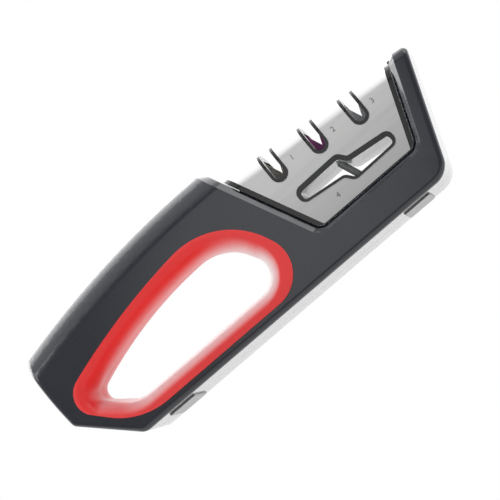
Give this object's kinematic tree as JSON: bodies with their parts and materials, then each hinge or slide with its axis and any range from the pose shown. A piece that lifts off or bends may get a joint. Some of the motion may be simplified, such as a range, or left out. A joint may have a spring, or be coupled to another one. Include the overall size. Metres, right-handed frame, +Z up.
{
  "type": "manual knife sharpener",
  "caption": "Hand-held knife and scissors sharpener: housing with a soft-lined hand hole, resting on two feet, and a lift-out steel-faced cartridge with crossed slabs in open slots.",
  "frame": {"origin": "under the middle of the bounding box, on the surface that the two feet stand on", "axes": "+X from the handle end to the cartridge end, +Y through the thickness from the front side to the rear side with the screws, +Z up"},
  "size_m": [0.2234, 0.0474, 0.0763],
  "materials": {
    "housing_plastic": "satin charcoal moulding",
    "soft_lining": "soft matte red",
    "foot_rubber": "matte black",
    "screw_steel": "zinc plated",
    "cartridge_plastic": "satin black moulding",
    "brushed_cover": "brushed along the slope of the top",
    "holder_plastic": "matte black",
    "coarse_abrasive": "coarse sparkling grit",
    "medium_abrasive": "medium grit",
    "fine_ceramic": "smooth ceramic",
    "rod_ceramic": "smooth grey ceramic"
  },
  "bodies": {
    "housing": {"front_shell": "housing_plastic", "rear_shell": "housing_plastic", "front_grip_lining": "soft_lining", "rear_grip_lining": "soft_lining", "handle_end_foot": "foot_rubber", "head_end_foot": "foot_rubber", "housing_screws": "screw_steel"},
    "cartridge": {"cartridge_front": "cartridge_plastic", "cartridge_rear": "cartridge_plastic", "steel_cover": "brushed_cover", "scissors_rod": "rod_ceramic", "coarse_holder": "holder_plastic", "coarse_slab_left": "coarse_abrasive", "coarse_slab_right": "coarse_abrasive", "medium_holder": "holder_plastic", "medium_slab_left": "medium_abrasive", "medium_slab_right": "medium_abrasive", "fine_holder": "holder_plastic", "fine_slab_left": "fine_ceramic", "fine_slab_right": "fine_ceramic", "cartridge_screws": "screw_steel"}
  },
  "joints": [
    {"name": "cartridge_lift", "type": "slide", "parent": "housing", "child": "cartridge", "axis": [0, 0, 1], "range_m": [0, 0.06]}
  ]
}
